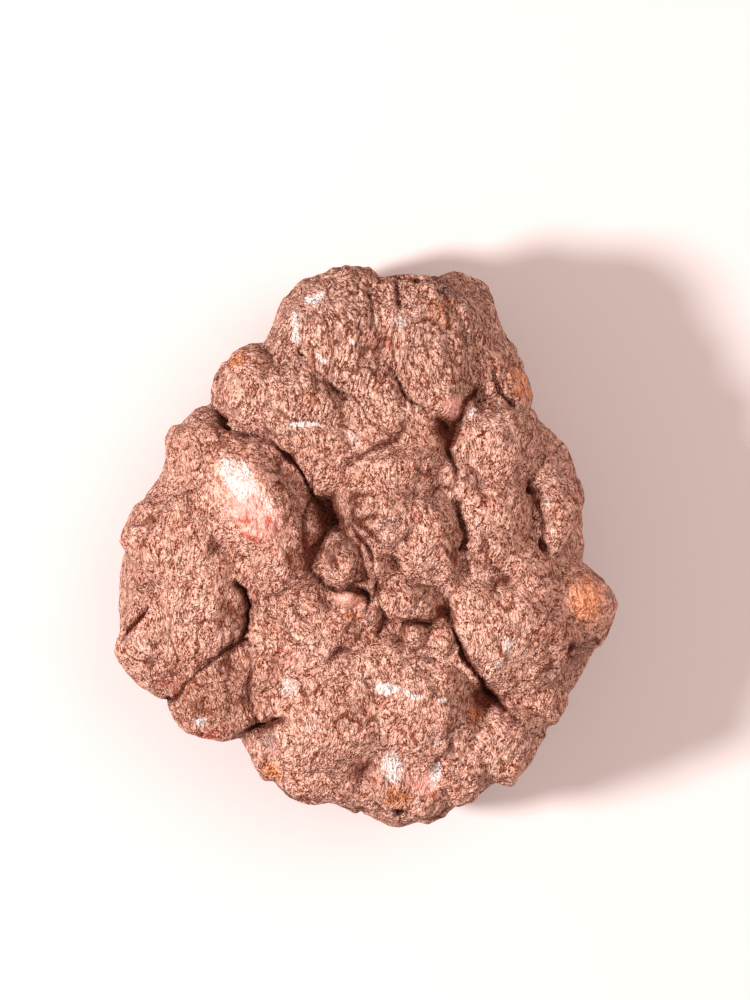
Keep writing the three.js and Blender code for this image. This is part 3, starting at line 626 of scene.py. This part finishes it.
def srgb(red, green, blue):
    """A colour from 0 to 255 as Blender's linear values."""
    def linear(value):
        value /= 255
        return value / 12.92 if value <= 0.04045 else ((value + 0.055) / 1.055) ** 2.4
    return (linear(red), linear(green), linear(blue), 1)


CLAY = srgb(241, 184, 163)
DARKER_CLAY = srgb(230, 167, 146)
PALE_CLAY = srgb(236, 184, 168)
RUST = srgb(202, 126, 94)
DULL_CRUMB = srgb(170, 100, 76)
PALE_CRUMB = srgb(240, 198, 182)
# Painted shade in a brown tone, for the flanks and recesses listed as patches.
PAINTED_SHADE_BROWN = srgb(146, 82, 58)
# Painted shade in the low places between the crumbs.
PAINTED_PIT_SHADE = srgb(128, 60, 38)
# Painted shade in the creases between flakes and in the grooves of the fluting.
PAINTED_CREASE_SHADE = srgb(104, 40, 18)
# Painted highlight on the crests of the grit.
PAINTED_HIGHLIGHT = srgb(252, 204, 182)
# Painted shade along hairline cracks.
PAINTED_HAIRLINE_SHADE = srgb(92, 34, 16)
DULL_GRAIN = srgb(150, 80, 56)
PALE_GRAIN = srgb(252, 206, 186)
CHALK = srgb(252, 238, 233)
BARE_CHALK = srgb(216, 197, 191)  # where the rind is smooth, which catches more light
CLEFT_SHADE = srgb(96, 36, 18)
# Its coloured marks: how much they cover, and their colour.
MARK_COLOURS = {
    "orange": (0.85, srgb(230, 140, 90)),
    "pink": (0.85, srgb(230, 162, 150)),
    "red": (0.85, srgb(200, 84, 64)),
    "grey": (0.75, srgb(126, 106, 108)),
}


def add(kind, **settings):
    node = nodes.new(kind)
    for name, value in settings.items():
        setattr(node, name, value)
    return node


def attribute(name):
    return add("ShaderNodeAttribute", attribute_name=name).outputs["Fac"]


coordinates = add("ShaderNodeTexCoord").outputs["Object"]


def texture_noise(size, detail=3, roughness=0.55):
    """Noise over the surface with swells of a size in metres."""
    texture = add("ShaderNodeTexNoise")
    texture.inputs["Scale"].default_value = 1 / size
    texture.inputs["Detail"].default_value = detail
    texture.inputs["Roughness"].default_value = roughness
    links.new(coordinates, texture.inputs["Vector"])
    return texture.outputs["Fac"]


def math_node(operation, first, second=0.0):
    node = add("ShaderNodeMath", operation=operation)
    for socket, value in zip(node.inputs, (first, second)):
        if isinstance(value, (int, float)):
            socket.default_value = value
        else:
            links.new(value, socket)
    return node.outputs["Value"]


def vector_node(operation, first, second):
    node = add("ShaderNodeVectorMath", operation=operation)
    for socket, value in zip(node.inputs, (first, second)):
        if isinstance(value, (tuple, list)):
            socket.default_value = value
        else:
            links.new(value, socket)
    return node.outputs["Value" if operation == "DOT_PRODUCT" else "Vector"]


def remap(value, low, high, to_low=0.0, to_high=1.0):
    node = add("ShaderNodeMapRange", interpolation_type="SMOOTHSTEP")
    links.new(value, node.inputs["Value"])
    for name, number in (("From Min", low), ("From Max", high), ("To Min", to_low), ("To Max", to_high)):
        node.inputs[name].default_value = number
    return node.outputs["Result"]


def blend_colours(share, first, second):
    node = add("ShaderNodeMix", data_type="RGBA")
    links.new(share, node.inputs["Factor"])
    for name, value in (("A", first), ("B", second)):
        socket = next(s for s in node.inputs if s.name == name and s.type == "RGBA")
        if isinstance(value, tuple):
            socket.default_value = value
        else:
            links.new(value, socket)
    return next(s for s in node.outputs if s.type == "RGBA")


# Fine grit on the crumbs that the mesh holds: slender flakes with sharp creases between them, taller
# than wide and leaning this way and that.
def bent_coordinates(size, reach, start):
    swell = add("ShaderNodeTexNoise")
    swell.inputs["Scale"].default_value = 1 / (size * MM)
    links.new(start, swell.inputs["Vector"])
    shift = vector_node("SUBTRACT", swell.outputs["Color"], (0.5, 0.5, 0.5))
    return vector_node("ADD", start, vector_node("MULTIPLY", shift, [reach * MM] * 3))


flake_place = bent_coordinates(0.5, 0.18, bent_coordinates(9, 4, coordinates))
raggedness = math_node("SUBTRACT", texture_noise(0.26 * MM, detail=2, roughness=0.7), 0.5)


def creased(width, height, ragged=0.5):
    """Swells of a size in millimetres with a sharp crease between each and the next: 0 there, up to 1."""
    ripple = add("ShaderNodeTexNoise")
    ripple.inputs["Scale"].default_value = 1
    ripple.inputs["Detail"].default_value = 0
    place = vector_node("MULTIPLY", flake_place, [1 / (MM * side) for side in (width, height, width)])
    links.new(place, ripple.inputs["Vector"])
    swell = math_node("MULTIPLY", math_node("ABSOLUTE", math_node("SUBTRACT", ripple.outputs["Fac"], 0.5)), 4)
    return math_node("ADD", swell, math_node("MULTIPLY", raggedness, ragged))


wide_flakes = creased(0.58, 1.1)
narrow_flakes = creased(0.34, 0.6)
specks = creased(0.2, 0.34)
grains = add("ShaderNodeTexVoronoi")
grains.inputs["Scale"].default_value = 1
GRAIN_SIZE = (0.36, 0.54, 0.36)
grain_place = vector_node("MULTIPLY", flake_place, [1 / (MM * side) for side in GRAIN_SIZE])
links.new(grain_place, grains.inputs["Vector"])
domes = math_node("SUBTRACT", 1.0, grains.outputs["Distance"])
grit = math_node("ADD", math_node("MULTIPLY", wide_flakes, 0.32), math_node("MULTIPLY", narrow_flakes, 0.3))
grit = math_node("ADD", grit, math_node("MULTIPLY", specks, 0.16))
grit = math_node("ADD", grit, math_node("MULTIPLY", domes, 0.3))
hairlines = creased(3.4, 5, 0.12)
fine_flutes = creased(0.55, 3.2, 0.3)
fluted = attribute("fluted")
grit = math_node("ADD", grit, math_node("MULTIPLY", math_node("MULTIPLY", fine_flutes, 0.35), fluted))
smooth_share = attribute("smooth")
roughened = math_node("SUBTRACT", 1.0, math_node("MULTIPLY", smooth_share, 0.8))
speckle = texture_noise(0.45 * MM, detail=4, roughness=0.7)


def broken(name):
    """A mark's mask with crumbly edges, thinner where the mark is weak."""
    mask = attribute(name)
    crumbly = remap(math_node("ADD", mask, math_node("MULTIPLY", speckle, 1.3)), 0.98, 1.22)
    return math_node("MULTIPLY", crumbly, remap(mask, 0.2, 0.9, 0.4, 1))


tone = texture_noise(7 * MM, detail=2)
colour = blend_colours(remap(tone, 0.35, 0.65), CLAY, DARKER_CLAY)
mottle = texture_noise(1.8 * MM, detail=3, roughness=0.6)
colour = blend_colours(remap(mottle, 0.5, 0.75, 0, 0.4), colour, PALE_CLAY)
rust = texture_noise(2.6 * MM, detail=4, roughness=0.7)
colour = blend_colours(remap(rust, 0.56, 0.72, 0, 0.5), colour, RUST)
colour = blend_colours(remap(attribute("crumb_tone"), 0.35, 0.1, 0, 0.12), colour, DULL_CRUMB)
colour = blend_colours(remap(attribute("crumb_tone"), 0.6, 0.9, 0, 0.15), colour, PALE_CRUMB)
# Painted shade on the flanks and recesses listed as patches.
colour = blend_colours(math_node("MULTIPLY", attribute("painted_shade"), 0.5), colour, PAINTED_SHADE_BROWN)
for name, (cover, tint) in MARK_COLOURS.items():
    colour = blend_colours(math_node("MULTIPLY", broken(name), cover), colour, tint)
# Painted shade in the low places between the crumbs.
pit_shade = math_node("MULTIPLY", remap(attribute("crumbs"), 0.34, 0.14, 0, 0.2), roughened)
colour = blend_colours(pit_shade, colour, PAINTED_PIT_SHADE)
# Painted shade in the creases between the flakes, broken up.
broken_up = remap(texture_noise(0.7 * MM, detail=2), 0.4, 0.52)
for creases, darkness in ((wide_flakes, 0.55), (narrow_flakes, 1), (specks, 1)):
    crease_shade = math_node("MULTIPLY", remap(creases, 0.25, 0.12, 0, darkness), roughened)
    colour = blend_colours(math_node("MULTIPLY", crease_shade, broken_up), colour, PAINTED_CREASE_SHADE)
# Painted shade in the grooves of the fluting.
groove_shade = math_node("MULTIPLY", remap(fine_flutes, 0.24, 0.08, 0, 0.9), fluted)
colour = blend_colours(groove_shade, colour, PAINTED_CREASE_SHADE)
# Painted highlight on the crests of the grit.
crest_highlight = math_node("MULTIPLY", remap(grit, 0.5, 0.8, 0, 0.3), roughened)
colour = blend_colours(crest_highlight, colour, PAINTED_HIGHLIGHT)
# Painted shade along hairline cracks that the mesh doesn't hold.
hairline_shade = math_node("MULTIPLY", remap(hairlines, 0.13, 0.05, 0, 0.75), roughened)
hairline_shade = math_node("MULTIPLY", hairline_shade, remap(texture_noise(4.5 * MM, detail=1), 0.44, 0.52))
colour = blend_colours(hairline_shade, colour, PAINTED_HAIRLINE_SHADE)
grain_tone = vector_node("DOT_PRODUCT", grains.outputs["Color"], (1, 0, 0))
colour = blend_colours(remap(grain_tone, 0.35, 0.1, 0, 0.45), colour, DULL_GRAIN)
colour = blend_colours(remap(grain_tone, 0.65, 0.9, 0, 0.25), colour, PALE_GRAIN)
white = math_node("MULTIPLY", broken("white"), remap(grit, 0.2, 0.5, 0.2, 0.9))
chalk = blend_colours(smooth_share, CHALK, BARE_CHALK)
colour = blend_colours(white, colour, chalk)
colour = blend_colours(remap(attribute("deep"), 0.15, 0.9, 0, 0.9), colour, CLEFT_SHADE)
links.new(colour, shader.inputs["Base Color"])

bump = add("ShaderNodeBump")
GRIT_HEIGHT = 0.85 * MM
bump.inputs["Distance"].default_value = GRIT_HEIGHT
bump.inputs["Strength"].default_value = 1
links.new(math_node("MULTIPLY", grit, roughened), bump.inputs["Height"])
links.new(bump.outputs["Normal"], shader.inputs["Normal"])

rind_mesh.materials.append(rind_material)
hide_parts("geode")
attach(rind, "root")

# The floor: a plain pale sheet that the stone lies on.
# It is level, matt and wide enough to fill the picture.
FLOOR_REACH = 1.5
floor_mesh = bpy.data.meshes.new("floor")
corners = [(x * FLOOR_REACH, y * FLOOR_REACH, 0) for x, y in ((-1, -1), (1, -1), (1, 1), (-1, 1))]
floor_mesh.from_pydata(corners, [], [(0, 1, 2, 3)])
floor = bpy.data.objects.new("floor", floor_mesh)
bpy.context.scene.collection.objects.link(floor)
floor_material = bpy.data.materials.new("floor")
floor_material.use_nodes = True
floor_shader = floor_material.node_tree.nodes["Principled BSDF"]
floor_shader.inputs["Base Color"].default_value = srgb(208, 194, 192)
floor_shader.inputs["Roughness"].default_value = 0.8
floor_mesh.materials.append(floor_material)

# Light: a small key from the left of the picture, which picks out the knobs and the grit,
# a broad fill from the right and a pale, warm room around.
def area_light(name, location, size, power, colour=(1, 1, 1)):
    light_data = bpy.data.lights.new(name, "AREA")
    light_data.shape = "DISK"
    light_data.size = size
    light_data.energy = power
    light_data.color = colour
    light = bpy.data.objects.new(name, light_data)
    light.location = location
    light.rotation_euler = (-Vector(location)).to_track_quat("-Z", "Y").to_euler()
    bpy.context.scene.collection.objects.link(light)


area_light("key", (-0.45, -0.06, 0.4), 0.1, 6)
area_light("fill", (0.45, 0.2, 0.6), 0.8, 4.3, (1, 0.89, 0.84))
world = bpy.data.worlds.new("room")
world.use_nodes = True
world.node_tree.nodes["Background"].inputs["Color"].default_value = (1, 0.87, 0.82, 1)
world.node_tree.nodes["Background"].inputs["Strength"].default_value = 0.55
bpy.context.scene.world = world
bpy.context.scene.view_settings.view_transform = "Standard"
